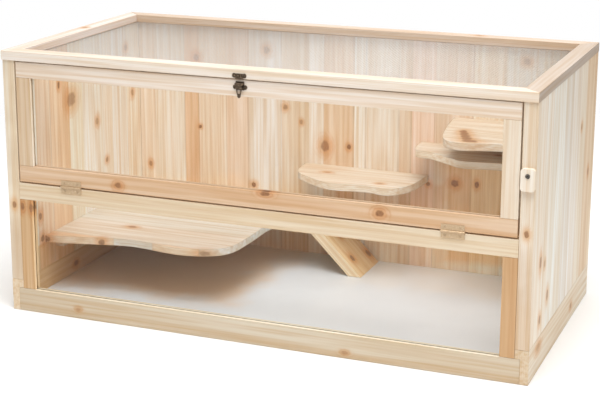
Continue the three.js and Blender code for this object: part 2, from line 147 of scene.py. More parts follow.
class Nodes:
    """Adds nodes to one tree. A value that is a socket is linked, and any other is set."""

    def __init__(self, tree):
        self.tree = tree

    def feed(self, socket, value):
        if isinstance(value, bpy.types.NodeSocket):
            self.tree.links.new(value, socket)
        else:
            socket.default_value = value

    def add(self, kind, inputs=None, **settings):
        node = self.tree.nodes.new("ShaderNode" + kind)
        for name, value in settings.items():
            setattr(node, name, value)
        for key, value in (inputs or {}).items():
            self.feed(node.inputs[key], value)
        return node

    def math(self, operation, *values):
        return self.add("Math", dict(enumerate(values)), operation=operation).outputs[0]

    def vector(self, operation, *values):
        node = self.add("VectorMath", dict(enumerate(values)), operation=operation)
        return node.outputs["Value" if operation == "LENGTH" else "Vector"]

    def scale(self, vector, factor):
        return self.add("VectorMath", {0: vector, "Scale": factor}, operation="SCALE").outputs[0]

    def ramp_value(self, value, low, high, to_low=0.0, to_high=1.0):
        """Smoothly carries value from the range low..high to to_low..to_high."""
        node = self.add(
            "MapRange",
            {"Value": value, "From Min": low, "From Max": high, "To Min": to_low, "To Max": to_high},
            interpolation_type="SMOOTHSTEP",
        )
        return node.outputs[0]

    def noise(self, vector, scale, detail=2.0, roughness=0.5):
        inputs = {"Vector": vector, "Scale": scale, "Detail": detail, "Roughness": roughness}
        return self.add("TexNoise", inputs).outputs["Fac"]

    def hash(self, value):
        return self.add("TexWhiteNoise", {"W": value}, noise_dimensions="1D").outputs["Value"]

    def mix(self, factor, a, b, blend="MIX"):
        inputs = {"Factor": factor, "A": a, "B": b}
        node = self.tree.nodes.new("ShaderNodeMix")
        node.data_type = "RGBA"
        node.blend_type = blend
        for socket in node.inputs:
            if socket.enabled and socket.name in inputs:
                self.feed(socket, inputs[socket.name])
        return next(socket for socket in node.outputs if socket.enabled)

    def xyz(self, x, y, z):
        return self.add("CombineXYZ", {"X": x, "Y": y, "Z": z}).outputs[0]

    def split(self, vector):
        return self.add("SeparateXYZ", {"Vector": vector}).outputs[:]

    def object_position(self):
        return self.add("TexCoord").outputs["Object"]

    def bump(self, height, distance):
        inputs = {"Height": height, "Distance": distance, "Strength": 1.0}
        return self.add("Bump", inputs).outputs[0]


def new_group(name, inputs, outputs):
    """An empty node group. Inputs and outputs map a name to Float, Vector or Color."""
    tree = bpy.data.node_groups.new(name, "ShaderNodeTree")
    for in_out, sockets in (("INPUT", inputs), ("OUTPUT", outputs)):
        for label, kind in sockets.items():
            tree.interface.new_socket(label, in_out=in_out, socket_type="NodeSocket" + kind)
    entry = tree.nodes.new("NodeGroupInput")
    leave = tree.nodes.new("NodeGroupOutput")
    return tree, Nodes(tree), entry.outputs, leave.inputs


def use_group(nodes, tree, inputs):
    node = nodes.add("Group")
    node.node_tree = tree
    for name, value in inputs.items():
        nodes.feed(node.inputs[name], value)
    return node.outputs


def new_material(name):
    """A material with one Principled shader, and the adder of nodes for it."""
    material = bpy.data.materials.new(name)
    material.use_nodes = True
    material.node_tree.nodes.clear()
    nodes = Nodes(material.node_tree)
    shader = nodes.add("BsdfPrincipled")
    output = nodes.add("OutputMaterial")
    nodes.feed(output.inputs["Surface"], shader.outputs[0])
    return material, nodes, shader


def output_of(material):
    return next(node for node in material.node_tree.nodes if node.type == "OUTPUT_MATERIAL")


# ---- Pine --------------------------------------------------------------------------------------
# A board's own axes are along the grain, across the face and through the thickness, in metres.

ALL_THROUGH = 100000
RING_WIDTH = 3.6 * MM
EDGE_WEAR = (4.2 * MM, 1.4 * MM)  # where the wear starts and where it is full, from the edge
GLUE_LINE = (1.1 * MM, 0.2 * MM)  # where a glue line starts and where it is darkest
GLUE_COLOUR = (0.46, 0.28, 0.15, 1)
WOOD_RELIEF = 0.22 * MM


def knot_group():
    """One knot: its core, the stain round it, and how far it pushes the growth rings aside."""
    tree, n, given, result = new_group(
        "knot",
        {"Position": "Vector", "Centre": "Vector", "Half": "Vector", "Reach": "Float"},
        {"Core": "Float", "Halo": "Float", "Pull": "Float"},
    )
    offset = n.vector("DIVIDE", n.vector("SUBTRACT", given["Position"], given["Centre"]), given["Half"])
    ragged = n.math("MULTIPLY", n.math("SUBTRACT", n.noise(given["Position"], 160), 0.5), 0.8)
    distance = n.math("ADD", n.vector("LENGTH", offset), ragged)
    n.feed(result["Core"], n.ramp_value(distance, 1.2, 0.7))
    n.feed(result["Halo"], n.ramp_value(distance, 4.2, 0.9))
    n.feed(result["Pull"], n.math("MULTIPLY", n.ramp_value(distance, 3.0, 0.0), given["Reach"]))
    return tree


def edge_group():
    """How near a point is to a long edge of its board, from 0 to 1."""
    tree, n, given, result = new_group(
        "edge", {"Position": "Vector", "Low": "Vector", "High": "Vector"}, {"Wear": "Float"}
    )
    from_low = n.vector("SUBTRACT", given["Position"], given["Low"])
    to_high = n.vector("SUBTRACT", given["High"], given["Position"])
    x, y, z = n.split(n.vector("MINIMUM", from_low, to_high))
    lower = n.math("MINIMUM", x, y)
    upper = n.math("MAXIMUM", x, y)
    second = n.math("MAXIMUM", lower, n.math("MINIMUM", upper, z))
    rough = n.math("MULTIPLY", n.noise(given["Position"], 90, 3), 0.004)
    n.feed(result["Wear"], n.ramp_value(n.math("ADD", second, rough), *EDGE_WEAR))
    return tree


def pine_group():
    """Growth rings round a pith line outside the board, with fibres, tone and knots."""
    tree, n, given, result = new_group(
        "pine",
        {
            "Position": "Vector", "Seed": "Float", "Tint": "Color", "Core": "Float",
            "Halo": "Float", "Pull": "Float", "Wear": "Float", "Ring": "Float", "Sway": "Float",
            "Contrast": "Float",
        },
        {"Color": "Color", "Roughness": "Float", "Height": "Float"},
    )
    seed = given["Seed"]
    shift = n.xyz(n.math("MULTIPLY", seed, 3.7), n.math("MULTIPLY", seed, 1.9), seed)
    spot = n.vector("ADD", given["Position"], shift)
    along, across, through = n.split(given["Position"])

    # Rings
    sway = n.math("SUBTRACT", n.noise(n.vector("MULTIPLY", spot, (1.3, 7, 7)), 1.0), 0.5)
    ripple = n.math("SUBTRACT", n.noise(n.vector("MULTIPLY", spot, (9, 40, 40)), 1.0), 0.5)
    bend = n.math("ADD", n.math("MULTIPLY", sway, given["Sway"]), n.math("MULTIPLY", ripple, 0.004))
    pith_across = n.math("MULTIPLY", n.math("SUBTRACT", n.hash(seed), 0.5), 0.11)
    pith_depth = n.math("MULTIPLY_ADD", n.hash(n.math("ADD", seed, 5.3)), 0.05, 0.022)
    lean = n.math("MULTIPLY", n.math("SUBTRACT", n.hash(n.math("ADD", seed, 9.1)), 0.5), given["Sway"])
    side = n.math("ADD", n.math("SUBTRACT", across, pith_across), bend)
    depth = n.math("ADD", n.math("ADD", through, pith_depth), n.math("MULTIPLY", along, lean))
    radius = n.vector("LENGTH", n.xyz(0.0, side, depth))
    phase = n.math("DIVIDE", n.math("ADD", radius, given["Pull"]), given["Ring"])
    turn = n.math("MULTIPLY", n.math("POWER", n.math("FRACT", phase), 1.7), 2 * math.pi)
    wave = n.math("MULTIPLY_ADD", n.math("COSINE", turn), -0.5, 0.5)
    year = n.hash(n.math("ADD", n.math("FLOOR", phase), seed))
    late = n.math("MULTIPLY", n.math("POWER", wave, 1.6), n.math("MULTIPLY_ADD", year, 0.65, 0.35))

    # Colour
    tone = n.noise(n.vector("MULTIPLY", spot, (1.6, 22, 22)), 1.0, 3, 0.6)
    fibre = n.noise(n.vector("MULTIPLY", spot, (14, 620, 620)), 1.0, 3, 0.65)
    streak = n.noise(n.vector("MULTIPLY", spot, (3, 130, 130)), 1.0, 2, 0.6)
    colour = n.mix(
        n.math("MULTIPLY", late, given["Contrast"]), given["Tint"],
        n.mix(1.0, given["Tint"], (0.86, 0.70, 0.52, 1), "MULTIPLY"),
    )
    warm = n.mix(n.ramp_value(tone, 0.35, 0.68), (1.04, 1.04, 1.04, 1), (0.96, 0.90, 0.82, 1))
    colour = n.mix(1.0, colour, warm, "MULTIPLY")
    lines = n.mix(n.ramp_value(streak, 0.30, 0.66), (0.92, 0.83, 0.71, 1), (1.03, 1.04, 1.05, 1))
    colour = n.mix(1.0, colour, lines, "MULTIPLY")
    colour = n.scale(colour, n.math("MULTIPLY_ADD", fibre, 0.16, 0.92))
    stain = n.math("MULTIPLY", n.math("POWER", given["Halo"], 2.0), 0.75)
    colour = n.mix(stain, colour, n.mix(1.0, colour, (0.86, 0.58, 0.34, 1), "MULTIPLY"))
    heart = n.mix(n.noise(spot, 240, 2), (0.17, 0.072, 0.03, 1), (0.46, 0.22, 0.095, 1))
    colour = n.mix(given["Core"], colour, heart)
    colour = n.mix(
        n.math("MULTIPLY", given["Wear"], 0.28), colour,
        n.mix(1.0, colour, (0.90, 0.84, 0.76, 1), "MULTIPLY"),
    )
    n.feed(result["Color"], colour)

    # Surface
    rough = n.math("MULTIPLY_ADD", fibre, 0.22, 0.46)
    rough = n.math("MULTIPLY_ADD", late, -0.09, rough)
    rough = n.math("MULTIPLY_ADD", given["Core"], -0.12, rough)
    n.feed(result["Roughness"], n.math("MULTIPLY_ADD", given["Wear"], 0.08, rough))
    height = n.math("MULTIPLY_ADD", late, 0.45, n.math("MULTIPLY", fibre, 0.55))
    n.feed(result["Height"], n.math("MULTIPLY_ADD", given["Core"], 0.5, height))
    return tree


def patch_group():
    """A soft-edged box, from 1 inside it to 0 outside."""
    tree, n, given, result = new_group(
        "patch", {"Position": "Vector", "Low": "Vector", "High": "Vector", "Soft": "Vector"},
        {"Inside": "Float"},
    )
    from_low = n.vector("SUBTRACT", given["Position"], given["Low"])
    to_high = n.vector("SUBTRACT", given["High"], given["Position"])
    x, y, z = n.split(n.vector("DIVIDE", n.vector("MINIMUM", from_low, to_high), given["Soft"]))
    depth = n.math("MINIMUM", n.math("MINIMUM", x, y), z)
    uneven = n.math("SUBTRACT", n.noise(given["Position"], 14, 3), 0.5)
    n.feed(result["Inside"], n.ramp_value(n.math("ADD", depth, uneven), -0.5, 0.5))
    return tree


KNOT = knot_group()
EDGE = edge_group()
PATCH = patch_group()
PINE = pine_group()


def in_metres(vector):
    return tuple(value * MM for value in vector)


def board_position(nodes, grain, slope=0.0):
    """The position in a board's own axes. Grain names them, as in "zxy" for an upright board."""
    position = nodes.object_position()
    if slope:
        inputs = {"Vector": position, "Angle": slope, "Axis": (0, 1, 0)}
        position = nodes.add("VectorRotate", inputs).outputs[0]
    parts = dict(zip("xyz", nodes.split(position)))
    return nodes.xyz(*(parts[axis] for axis in grain))


def staves(nodes, position, edges, tints, seed):
    """Splits a glued panel into its staves. Edges are millimetres across the face."""
    count = len(tints)
    low, high = edges[0], edges[-1]
    across = nodes.split(position)[1]
    share = nodes.math("DIVIDE", nodes.math("SUBTRACT", across, low * MM), (high - low) * MM)
    chance = random.Random(seed)
    colours = []
    for index in range(count):
        start, stop = edges[index], edges[index + 1]
        middle = ((start + stop) / 2 - low) / (high - low)
        half = (stop - start) / 2 / (high - low)
        colours.append((middle, chance.random(), half))

    def steps(values):
        ramp = nodes.add("ValToRGB", {"Fac": share})
        ramp.color_ramp.interpolation = "CONSTANT"
        stops = ramp.color_ramp.elements
        while len(stops) < count:
            stops.new(0.5)
        for index, value in enumerate(values):
            stops[index].position = (edges[index] - low) / (high - low)
            stops[index].color = (*value, 1)
        return ramp.outputs["Color"]

    middle, number, half = nodes.split(steps(colours))
    centre = nodes.math("MULTIPLY_ADD", middle, (high - low) * MM, low * MM)
    own = nodes.vector("SUBTRACT", position, nodes.xyz(0.0, centre, 0.0))
    to_edge = nodes.math("SUBTRACT", half, nodes.math("ABSOLUTE", nodes.math("SUBTRACT", share, middle)))
    glue = nodes.ramp_value(nodes.math("MULTIPLY", to_edge, (high - low) * MM), *GLUE_LINE)
    return own, nodes.math("MULTIPLY_ADD", number, 60.0, seed), steps(tints), glue


def with_patches(nodes, colour, patches):
    """Multiplies a colour inside soft boxes. Each is (low, high, softness, tint) in millimetres.

    The softness is one number, or one for each axis.
    """
    for low, high, soft, tint in patches:
        given = {"Position": nodes.object_position(), "Low": in_metres(low), "High": in_metres(high)}
        given["Soft"] = in_metres(soft if isinstance(soft, tuple) else (soft, soft, soft))
        inside = use_group(nodes, PATCH, given)["Inside"]
        colour = nodes.mix(inside, colour, nodes.mix(1.0, colour, (*tint, 1), "MULTIPLY"))
    return colour


def all_knots(nodes, position, knots):
    """The core, the stain and the pull on the rings of all of a board's knots together.

    Each knot is (along, across, length, width, strength) in millimetres, in the board's axes. One
    that shows on a narrow face only has its place and its size through the board as well.
    """
    core, halo, pull = 0.0, 0.0, 0.0
    for along, across, length, width, strength, *depth in knots:
        through, thickness = depth or (0, ALL_THROUGH)
        given = {"Position": position, "Centre": in_metres((along, across, through))}
        given["Half"] = in_metres((length / 2, width / 2, thickness / 2))
        given["Reach"] = width * 0.8 * MM
        out = use_group(nodes, KNOT, given)
        core = nodes.math("MAXIMUM", core, nodes.math("MULTIPLY", out["Core"], strength))
        halo = nodes.math("MAXIMUM", halo, out["Halo"])
        pull = nodes.math("ADD", pull, out["Pull"])
    return core, halo, pull


def pine(name, box, grain, seed, tint=None, panel=None, knots=(), slope=0.0, sway=0.02, contrast=0.5):
    """A pine material for one board, or for a panel given as (edges, tints)."""
    material, nodes, shader = new_material(name)
    position = board_position(nodes, grain, slope)
    if panel:
        own, number, tint, glue = staves(nodes, position, *panel, seed)
    else:
        across = grain[1]
        centre = sum(corner["xyz".index(across)] for corner in box) / 2
        own = nodes.vector("SUBTRACT", position, (0, 0 if slope else centre, 0))
        number, glue = float(seed), 0.0
        tint = (*tint, 1)
    core, halo, pull = all_knots(nodes, position, knots)
    wear = 0.0
    if not slope:
        given = {"Position": nodes.object_position(), "Low": box[0], "High": box[1]}
        wear = use_group(nodes, EDGE, given)["Wear"]
    given = {
        "Position": own, "Seed": number, "Tint": tint, "Core": core, "Halo": halo,
        "Pull": pull, "Wear": wear, "Ring": RING_WIDTH, "Sway": sway, "Contrast": contrast,
    }
    wood = use_group(nodes, PINE, given)
    colour = with_patches(nodes, wood["Color"], PATCHES.get(name, ()))
    seam = nodes.ramp_value(nodes.noise(position, 9, 2), 0.35, 0.65, 0.08, 0.34)
    colour = nodes.mix(nodes.math("MULTIPLY", glue, seam), colour, GLUE_COLOUR)
    height = nodes.math("MULTIPLY_ADD", glue, -0.5, wood["Height"])
    nodes.feed(shader.inputs["Base Color"], colour)
    nodes.feed(shader.inputs["Roughness"], wood["Roughness"])
    nodes.feed(shader.inputs["Normal"], nodes.bump(height, WOOD_RELIEF))
    shader.inputs["Specular IOR Level"].default_value = 0.35
    return material


# Tints of pine, from pale sapwood to orange heartwood
CREAM = (0.77, 0.66, 0.52)
SHELF = (0.72, 0.65, 0.57)
TAN = (0.73, 0.58, 0.43)
AMBER = (0.71, 0.53, 0.38)

# Glued panels: edges of their staves in millimetres across the face, and a tint for each stave
BACK_STAVES = (
    (-547, -505, -425, -388, -312, -256, -170, -100, -60, 13, 44, 124, 154, 212, 300, 372, 456, 547),
    (
        (0.90, 0.82, 0.74), (0.90, 0.86, 0.81), (0.83, 0.61, 0.43), (0.89, 0.78, 0.67),
        (0.87, 0.72, 0.60), (0.90, 0.86, 0.83), (0.85, 0.74, 0.62), (0.91, 0.85, 0.79),
        (0.86, 0.69, 0.53), (0.93, 0.90, 0.86), (0.89, 0.81, 0.72), (0.83, 0.68, 0.54),
        (0.93, 0.75, 0.64), (0.87, 0.72, 0.59), (0.92, 0.82, 0.69), (0.84, 0.80, 0.74),
        (0.86, 0.83, 0.76),
    ),
)
LEFT_STAVES = (
    (-286, -214, -150, -68, -6, 88, 132, 206, 293),
    (
        (0.88, 0.83, 0.73), (0.93, 0.78, 0.64), (0.93, 0.73, 0.54), (0.93, 0.90, 0.80),
        (0.93, 0.92, 0.89), (0.92, 0.87, 0.80), (0.93, 0.93, 0.93), (0.93, 0.88, 0.80),
    ),
)
RIGHT_STAVES = (
    (-286, -206, -150, -28, 40, 115, 180, 293),
    (
        (0.81, 0.74, 0.65), (0.85, 0.84, 0.81), (0.80, 0.79, 0.75), (0.75, 0.72, 0.68),
        (0.78, 0.74, 0.69), (0.79, 0.73, 0.64), (0.75, 0.61, 0.46),
    ),
)
PLATFORM_STAVES = (
    (-195, -153, -40, 52, 128, 204, 275),
    (
        (0.75, 0.58, 0.43), (0.68, 0.61, 0.54), (0.67, 0.64, 0.59), (0.64, 0.61, 0.56),
        (0.66, 0.59, 0.51), (0.65, 0.60, 0.49),
    ),
)

# Knots, as all_knots takes them
BACK_KNOTS = (
    (308, -383, 9, 8, 0.95), (175, -241, 12, 12, 0.95), (375, -158, 13, 11, 0.6),
    (342, -117, 10, 8, 0.5), (289, -56, 26, 21, 0.7), (292, 4, 13, 10, 0.95),
    (223, 200, 11, 10, 0.8), (230, 264, 17, 18, 0.8), (232, 316, 16, 10, 0.85),
    (201, -521, 14, 9, 0.6), (479, -391, 18, 15, 0.6), (510, -206, 18, 16, 0.6),
    (526, 422, 16, 16, 0.6), (96, -300, 14, 12, 0.8), (82, 120, 12, 11, 0.7), (150, 480, 15, 12, 0.8),
)
LEFT_KNOTS = (
    (428, -56, 34, 34, 0.6), (471, -109, 15, 9, 0.85), (353, 58, 18, 14, 0.45),
    (388, 235, 16, 14, 0.5), (504, 206, 16, 14, 0.6), (193, -206, 18, 12, 0.8),
    (140, -200, 16, 14, 0.8), (120, 150, 14, 12, 0.8), (250, 100, 12, 12, 0.6),
    (240, -285, 16, 16, 0.8, -561, 10),
)
RIGHT_KNOTS = (
    (227, -215, 26, 17, 0.75), (214, -177, 16, 13, 0.5), (137, -141, 22, 15, 0.7),
    (106, -203, 20, 15, 0.75), (420, 140, 14, 12, 0.6), (300, 235, 16, 13, 0.7),
    (303, -285, 14, 16, 0.85, 561, 9),
)

# Boards: node, axes as board_position takes them, tint or panel, knots
BOARDS = (
    ("back_panel", "zxy", BACK_STAVES, BACK_KNOTS),
    ("left_side_panel", "zyx", LEFT_STAVES, LEFT_KNOTS),
    ("right_side_panel", "zyx", RIGHT_STAVES, RIGHT_KNOTS),
    ("left_base_rail", "yzx", CREAM, ((-60, 40, 20, 14, 0.7),)),
    ("right_base_rail", "yzx", (0.74, 0.66, 0.55), ((-205, 50, 30, 16, 0.35), (110, 30, 16, 12, 0.7))),
    ("front_bottom_rail", "xzy", (0.625, 0.55, 0.44), ((200, 12, 14, 8, 0.4), (-412, 20, 12, 8, 0.3))),
    ("middle_rail", "xzy", (0.75, 0.65, 0.51), ()),
    ("lower_left_stile", "zxy", (0.64, 0.45, 0.27), ((237, -541, 18, 9, 0.9), (237, -520, 20, 8, 0.9))),
    ("lower_right_stile", "zxy", (0.60, 0.40, 0.23), ()),
    ("door_top_rail", "xzy", (0.81, 0.72, 0.64), ()),
    ("door_bottom_rail", "xzy", AMBER,
     ((-306, 309, 15, 12, 0.9), (27, 326, 22, 10, 0.95), (270, 312, 17, 13, 0.95))),
    ("door_left_stile", "zxy", (0.70, 0.57, 0.43), ()),
    ("door_right_stile", "zxy", (0.80, 0.73, 0.64), ()),
    ("lid_front_rail", "xyz", (0.82, 0.75, 0.68), ()),
    ("lid_back_rail", "xyz", (0.60, 0.50, 0.42), ((310, 278, 16, 11, 0.6),)),
    ("lid_left_rail", "yxz", (0.72, 0.64, 0.60), ((40, -560, 15, 10, 0.6),)),
    ("lid_right_rail", "yxz", (0.49, 0.42, 0.365), ()),
    ("platform", "xyz", PLATFORM_STAVES,
     ((-398, -59, 20, 13, 0.85), (-421, -163, 15, 22, 0.95, 134, 14), (-545, -190, 20, 26, 0.95, 136, 15),
      (-172, -150, 26, 22, 0.7, 134, 11), (-300, 150, 15, 12, 0.7))),
    ("platform_back_batten", "xyz", TAN, ()),
    ("platform_side_batten", "yxz", TAN, ()),
    ("ramp", "xyz", (0.87, 0.67, 0.41),
     ((-2, 175, 17, 15, 0.85), (14, 256, 20, 18, 0.9), (-60, 200, 12, 10, 0.7))),
    ("lower_step_shelf", "xyz", SHELF, ((-26, 209, 16, 11, 0.5), (120, 160, 15, 12, 0.5))),
    ("middle_step_shelf", "xyz", SHELF, ((212, 144, 18, 14, 0.85), (380, 214, 14, 11, 0.6))),
    ("upper_step_shelf", "xyz", SHELF,
     ((316, 144, 17, 26, 1.0), (324, 124, 19, 28, 1.0), (332, 104, 21, 28, 1.0), (341, 84, 23, 26, 1.0),
      (352, 64, 34, 22, 0.95))),
    ("middle_shelf_batten", "yxz", TAN, ()),
    ("upper_shelf_batten", "yxz", TAN, ()),
    ("turn_button", "zxy", (0.84, 0.78, 0.70), ()),
)

# Places where a board differs from its tint, as with_patches takes them. Most are painted light and shade:
# painted shade makes the walls browner towards the floor, most of all in the den under the platform and
# under the shelves, and painted light lightens reveals, sawn fronts and other faces that the lamps leave
# too dark. The front edges of the side panels are darker towards the bottom, and the right base rail's
# front is darker.
DEN_TOP = 128
# Painted light on the front faces of the step shelves.
SHELF_FRONT_PAINTED_LIGHT = (1.27, 1.27, 1.25)
PATCHES = {
    "pine_back_panel": (
        # Painted shade: the inner face is browner and warmer towards the floor, most of all in the den
        # under the platform and under the middle and lower shelves; painted light brightens its lowest part
        # on the right.
        ((-560, 270, -80), (560, 284, 150), 110, (1.10, 0.96, 0.76)),
        ((-560, 270, -60), (-60, 284, DEN_TOP), 30, (1.02, 0.84, 0.66)),
        ((235, 270, 40), (600, 284, 304), (60, 4, 26), (1.00, 0.80, 0.57)),
        ((-30, 270, 150), (235, 284, 222), (24, 4, 20), (0.92, 0.78, 0.66)),
        ((190, 270, -60), (600, 284, 120), (60, 4, 40), (1.08, 1.15, 1.19)),
    ),
    "pine_left_side_panel": (
        # Painted shade browns the inner face in the den under the platform; the front edge is darker
        # towards the bottom.
        ((-550, -267, -60), (-540, 280, DEN_TOP), 8, (0.86, 0.66, 0.44)),
        ((-600, -400, -100), (-500, -284, 200), (1, 1, 120), (0.85, 0.79, 0.74)),
    ),
    "pine_right_side_panel": (((500, -400, -100), (600, -284, 200), (1, 1, 120), (0.84, 0.75, 0.66)),),
    # Painted shade browns the base rail's inner face in the den.
    "pine_left_base_rail": (((-548, -280, -20), (-540, 280, 80), 1, (1.00, 0.80, 0.56)),),
    "pine_right_base_rail": (((500, -400, -20), (600, -284, 90), 1, (0.90, 0.84, 0.76)),),
    # Painted highlight along the top edge of the rail.
    "pine_front_bottom_rail": (((-570, -300, 50.6), (570, -250, 60), 0.4, (1.35, 1.45, 1.55)),),
    # Painted light on the reveals of the two left stiles, which face into the windows.
    "pine_lower_left_stile": (((-517.8, -300, 0), (-500, -250, 300), 0.4, (1.45, 1.65, 1.85)),),
    "pine_door_left_stile": (((-510.0, -300, 300), (-490, -250, 560), 0.4, (1.32, 1.58, 1.95)),),
    # Painted shade on the top face of the rail.
    "pine_lid_front_rail": (((-600, -300, 576.5), (600, -240, 580), 1, (0.88, 0.84, 0.83)),),
    "pine_platform": (
        # Painted light on the front edge face, and painted bounce light on the underside over the den.
        ((-560, -220, 129), (-30, 150, 143.3), 0.5, (1.24, 1.35, 1.45)),
        ((-560, -190, 127), (-30, 275, 128.6), 0.5, (1.22, 1.18, 1.12)),
    ),
    # Painted light on the shelves' front faces, and on the front of the middle shelf's top under the upper
    # shelf.
    "pine_lower_step_shelf": (((-80, 100, 229), (260, 265, 243.3), 0.5, SHELF_FRONT_PAINTED_LIGHT),),
    "pine_middle_step_shelf": (
        ((160, 100, 307), (560, 262, 321.3), 0.5, SHELF_FRONT_PAINTED_LIGHT),
        ((300, 100, 321.5), (560, 262, 323), (60, 4, 0.2), (1.25, 1.2, 1.12)),
    ),
    "pine_upper_step_shelf": (((230, 0, 371), (560, 262, 385.3), 0.5, (1.2, 1.18, 1.15)),),
    # Painted light on the ramp's front side face.
    "pine_ramp": (((-60, 130, 0), (100, 141.5, 150), 1, (1.12, 1.22, 1.45)),),
}

# How strongly the growth rings show in a board, and how far they wander
GRAINS = {
    "back_panel": {"contrast": 0.42},
    "left_side_panel": {"contrast": 0.42},
    "right_side_panel": {"contrast": 0.36},
    "platform": {"contrast": 0.36},
    "lid_front_rail": {"contrast": 0.25},
    "door_top_rail": {"contrast": 0.3},
    "middle_rail": {"contrast": 0.3},
    "door_bottom_rail": {"contrast": 0.6},
    "upper_step_shelf": {"contrast": 0.8, "sway": 0.06},
    "middle_step_shelf": {"contrast": 0.7, "sway": 0.05},
    "lower_step_shelf": {"contrast": 0.7, "sway": 0.05},
}
RAMP_SLOPE = math.radians(45)
FIRST_SEED = 11
SEED_STEP = 7
WOOD_BEVEL = 0.9 * MM
SMALL_WOOD_BEVEL = 0.7 * MM
WELD_REACH = 1e-6
SHARP_ANGLE = math.radians(35)


def soften(piece, width, segments=2):
    """Rounds the sharp edges of a CAD node, which come apart in its mesh, with modifiers only."""
    for polygon in piece.data.polygons:
        polygon.use_smooth = True
    weld = piece.modifiers.new("weld", "WELD")
    weld.merge_threshold = WELD_REACH
    bevel = piece.modifiers.new("bevel", "BEVEL")
    bevel.width = width
    bevel.segments = segments
    bevel.limit_method = "ANGLE"
    bevel.angle_limit = SHARP_ANGLE
    piece.modifiers.new("normals", "WEIGHTED_NORMAL")


def dress(piece, material):
    piece.data.materials.clear()
    piece.data.materials.append(material)


def dress_boards():
    for number, (name, grain, tint, knots) in enumerate(BOARDS):
        panel = tint if isinstance(tint[0], tuple) else None
        slope = -RAMP_SLOPE if name == "ramp" else 0.0
        material = pine(
            f"pine_{name}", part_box(name), grain, FIRST_SEED + SEED_STEP * number,
            tint=None if panel else tint, panel=panel, knots=knots, slope=slope,
            **GRAINS.get(name, {}),
        )
        dress(NODES[name], material)
        soften(NODES[name], SMALL_WOOD_BEVEL if name == "turn_button" else WOOD_BEVEL)


# ---- Board, panes and metals -------------------------------------------------------------------

FLOOR_BOARD_BEVEL = 0.4 * MM
PANE_BEVEL = 0.3 * MM
METAL_BEVEL = 0.15 * MM
COATING_RELIEF = 0.06 * MM
METAL_RELIEF = 0.05 * MM

# Painted shade: the board is browner in the den under the platform and warmer under the shelves, as shade
# that takes the wood's colour
FLOOR_PAINTED_SHADE = (
    ((-600, -135, -10), (-125, 340, 40), (130, 110, 4), (1.07, 0.79, 0.56)),
    ((90, 120, -10), (600, 340, 40), 120, (1.03, 0.96, 0.88)),
)


def coated_board():
    """White melamine on a thin board: a faint pebble, rubbed places, and painted shade in the den and under
    the shelves.
    """
    material, n, shader = new_material("white_coated_board")
    spot = n.object_position()
    cloud = n.noise(spot, 5, 4, 0.6)
    rubbed = n.ramp_value(n.noise(n.vector("MULTIPLY", spot, (14, 9, 14)), 1.0, 4, 0.6), 0.4, 0.75)
    colour = n.mix(n.ramp_value(cloud, 0.3, 0.7), (0.83, 0.86, 0.89, 1), (0.79, 0.82, 0.85, 1))
    colour = n.mix(n.math("MULTIPLY", rubbed, 0.25), colour, (0.78, 0.79, 0.80, 1))
    n.feed(shader.inputs["Base Color"], with_patches(n, colour, FLOOR_PAINTED_SHADE))
    n.feed(shader.inputs["Roughness"], n.math("MULTIPLY_ADD", rubbed, 0.03, 0.30))
    n.feed(shader.inputs["Normal"], n.bump(n.noise(spot, 900, 2), COATING_RELIEF))
    return material


def clear_acrylic():
    """A clear sheet: a mirror that strengthens at a glance, over a film of dust and wiping marks."""
    material, n, shader = new_material("clear_acrylic")
    spot = n.object_position()
    facing = n.add("LayerWeight", {"Blend": 0.5}).outputs["Facing"]
    mirror = n.math("MULTIPLY_ADD", n.math("POWER", facing, 5.0), 0.9, 0.012)
    wipe = n.noise(n.vector("MULTIPLY", spot, (6, 1, 22)), 1.0, 4, 0.7)
    film = n.ramp_value(wipe, 0.42, 0.75, 0.002, 0.012)
    gloss = n.add("BsdfGlossy", {"Roughness": n.ramp_value(wipe, 0.3, 0.7, 0.02, 0.09)})
    clear = n.add("BsdfTransparent", {"Color": (0.985, 0.99, 0.988, 1)})
    n.feed(shader.inputs["Base Color"], (0.86, 0.86, 0.85, 1))
    shader.inputs["Roughness"].default_value = 0.8
    dusty = n.add("MixShader", {0: film, 1: clear.outputs[0], 2: shader.outputs[0]})
    whole = n.add("MixShader", {0: mirror, 1: dusty.outputs[0], 2: gloss.outputs[0]})
    n.feed(output_of(material).inputs["Surface"], whole.outputs[0])
    return material


def metal(name, colour, worn, roughness, grain=300.0, metallic=1.0):
    """Plated steel: cloudy plating, hairline scratches, and brighter rubbed spots."""
    material, n, shader = new_material(name)
    spot = n.object_position()
    cloud = n.noise(spot, grain, 3, 0.6)
    scratch = n.ramp_value(n.noise(n.vector("MULTIPLY", spot, (180, 2600, 2600)), 1.0, 2), 0.62, 0.72)
    rub = n.math("MAXIMUM", n.ramp_value(cloud, 0.5, 0.72), n.math("MULTIPLY", scratch, 0.7))
    n.feed(shader.inputs["Base Color"], n.mix(rub, (*colour, 1), (*worn, 1)))
    n.feed(shader.inputs["Roughness"], n.math("MULTIPLY_ADD", cloud, 0.25, roughness - 0.12))
    height = n.math("MULTIPLY_ADD", scratch, -0.6, cloud)
    n.feed(shader.inputs["Normal"], n.bump(height, METAL_RELIEF))
    shader.inputs["Metallic"].default_value = metallic
    return material


ACRYLIC = clear_acrylic()
WHITE_BOARD = coated_board()
ZINC = metal("plated_zinc", (0.58, 0.42, 0.26), (0.72, 0.56, 0.39), 0.48, metallic=0.5)
BRONZE = metal("dark_bronze", (0.13, 0.095, 0.07), (0.42, 0.31, 0.20), 0.42)
STEEL = metal("dark_steel", (0.12, 0.11, 0.10), (0.36, 0.34, 0.31), 0.40)
WIRE = metal("galvanised_wire", (0.64, 0.66, 0.68), (0.78, 0.80, 0.81), 0.5, 700.0, 0.35)


